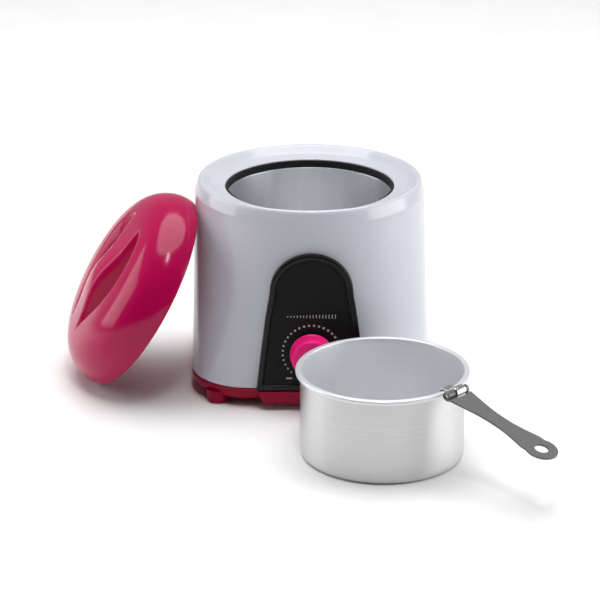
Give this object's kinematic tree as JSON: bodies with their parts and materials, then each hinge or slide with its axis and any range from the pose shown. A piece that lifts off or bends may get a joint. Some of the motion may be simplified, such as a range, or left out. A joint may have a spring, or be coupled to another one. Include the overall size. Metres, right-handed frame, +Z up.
{
  "type": "wax warmer pot",
  "caption": "Round electric wax warmer with a dial thermostat, a loose domed lid with a moulded finger grip, and a lift-out aluminium pot with a hinged handle.",
  "frame": {"origin": "centre of the whole laid-out set at floor level: heater, lid leaning on its left side and pot standing in front of its right side", "axes": "+Z up, control panel of the heater facing -Y, +X to the right of a person facing the panel"},
  "size_m": [0.3288, 0.3528, 0.1433],
  "materials": {
    "pearl": "gloss moulded plastic, cool pearl white",
    "raspberry": "high-gloss moulded plastic, raspberry pink",
    "dark_pink": "moulded plastic, deeper raspberry, satin",
    "black_gloss": "gloss black moulded plastic",
    "black_matte": "fine-textured matt black",
    "black_rubber": "matt black rubber",
    "satin_aluminium": "spun aluminium with fine turning lines",
    "brushed_aluminium": "drawn aluminium with upright streaks",
    "bright_steel": "bright pressed steel",
    "dark_steel": "satin grey sheet steel",
    "zinc_steel": "zinc-plated steel",
    "mica_band": "metal-sheathed mica heater band",
    "felt": "woven glass-fibre felt",
    "phenolic": "moulded phenolic",
    "ceramic": "unglazed ceramic",
    "silicone": "silicone-sleeved wire",
    "brass": "turned brass"
  },
  "bodies": {
    "heater": {"outer_housing": "pearl", "base_tray": "dark_pink", "foot_front_left": "dark_pink", "base_screw_front_left": "zinc_steel", "foot_rear_left": "dark_pink", "base_screw_rear_left": "zinc_steel", "foot_front_right": "dark_pink", "base_screw_front_right": "zinc_steel", "foot_rear_right": "dark_pink", "base_screw_rear_right": "zinc_steel", "heating_chamber": "brushed_aluminium", "seal_ring": "black_rubber", "tie_rod_rear_right": "zinc_steel", "tie_rod_rear_left": "zinc_steel", "tie_rod_front_left": "zinc_steel", "tie_rod_front_right": "zinc_steel", "heater_band": "mica_band", "band_clamp_screw": "zinc_steel", "insulation_jacket": "felt", "thermal_fuse": "ceramic", "fuse_clip": "bright_steel", "thermostat_body": "phenolic", "terminal_block": "ceramic", "control_panel": "black_gloss", "dial_plate": "black_matte", "thermostat_nut": "brass", "cord_gland": "black_rubber", "gland_nut": "black_matte", "lead_feed": "silicone", "lead_heater": "silicone", "lead_return": "silicone"},
    "knob": {"temperature_knob": "raspberry", "thermostat_shaft": "brass"},
    "lid": {"lid_shell": "raspberry"},
    "pot": {"wax_pot": "satin_aluminium", "handle_bracket": "bright_steel", "hinge_pin": "bright_steel"},
    "handle": {"pot_handle": "dark_steel"}
  },
  "joints": [
    {"name": "knob_turn", "type": "hinge", "parent": "heater", "child": "knob", "pos_m": [0.01117, -0.00805, 0.0427], "axis": [0, 1, 0], "range_deg": [0, 270]},
    {"name": "lid_lift", "type": "slide", "parent": "heater", "child": "lid", "axis": [0, 0, 1], "range_m": [0, 0.16]},
    {"name": "pot_lift", "type": "slide", "parent": "heater", "child": "pot", "axis": [0, 0, 1], "range_m": [0, 0.16]},
    {"name": "handle_fold", "type": "hinge", "parent": "pot", "child": "handle", "pos_m": [0.10272, -0.11614, 0.0612], "axis": [-0.6972, -0.7169, 0], "range_deg": [0, 182]}
  ]
}
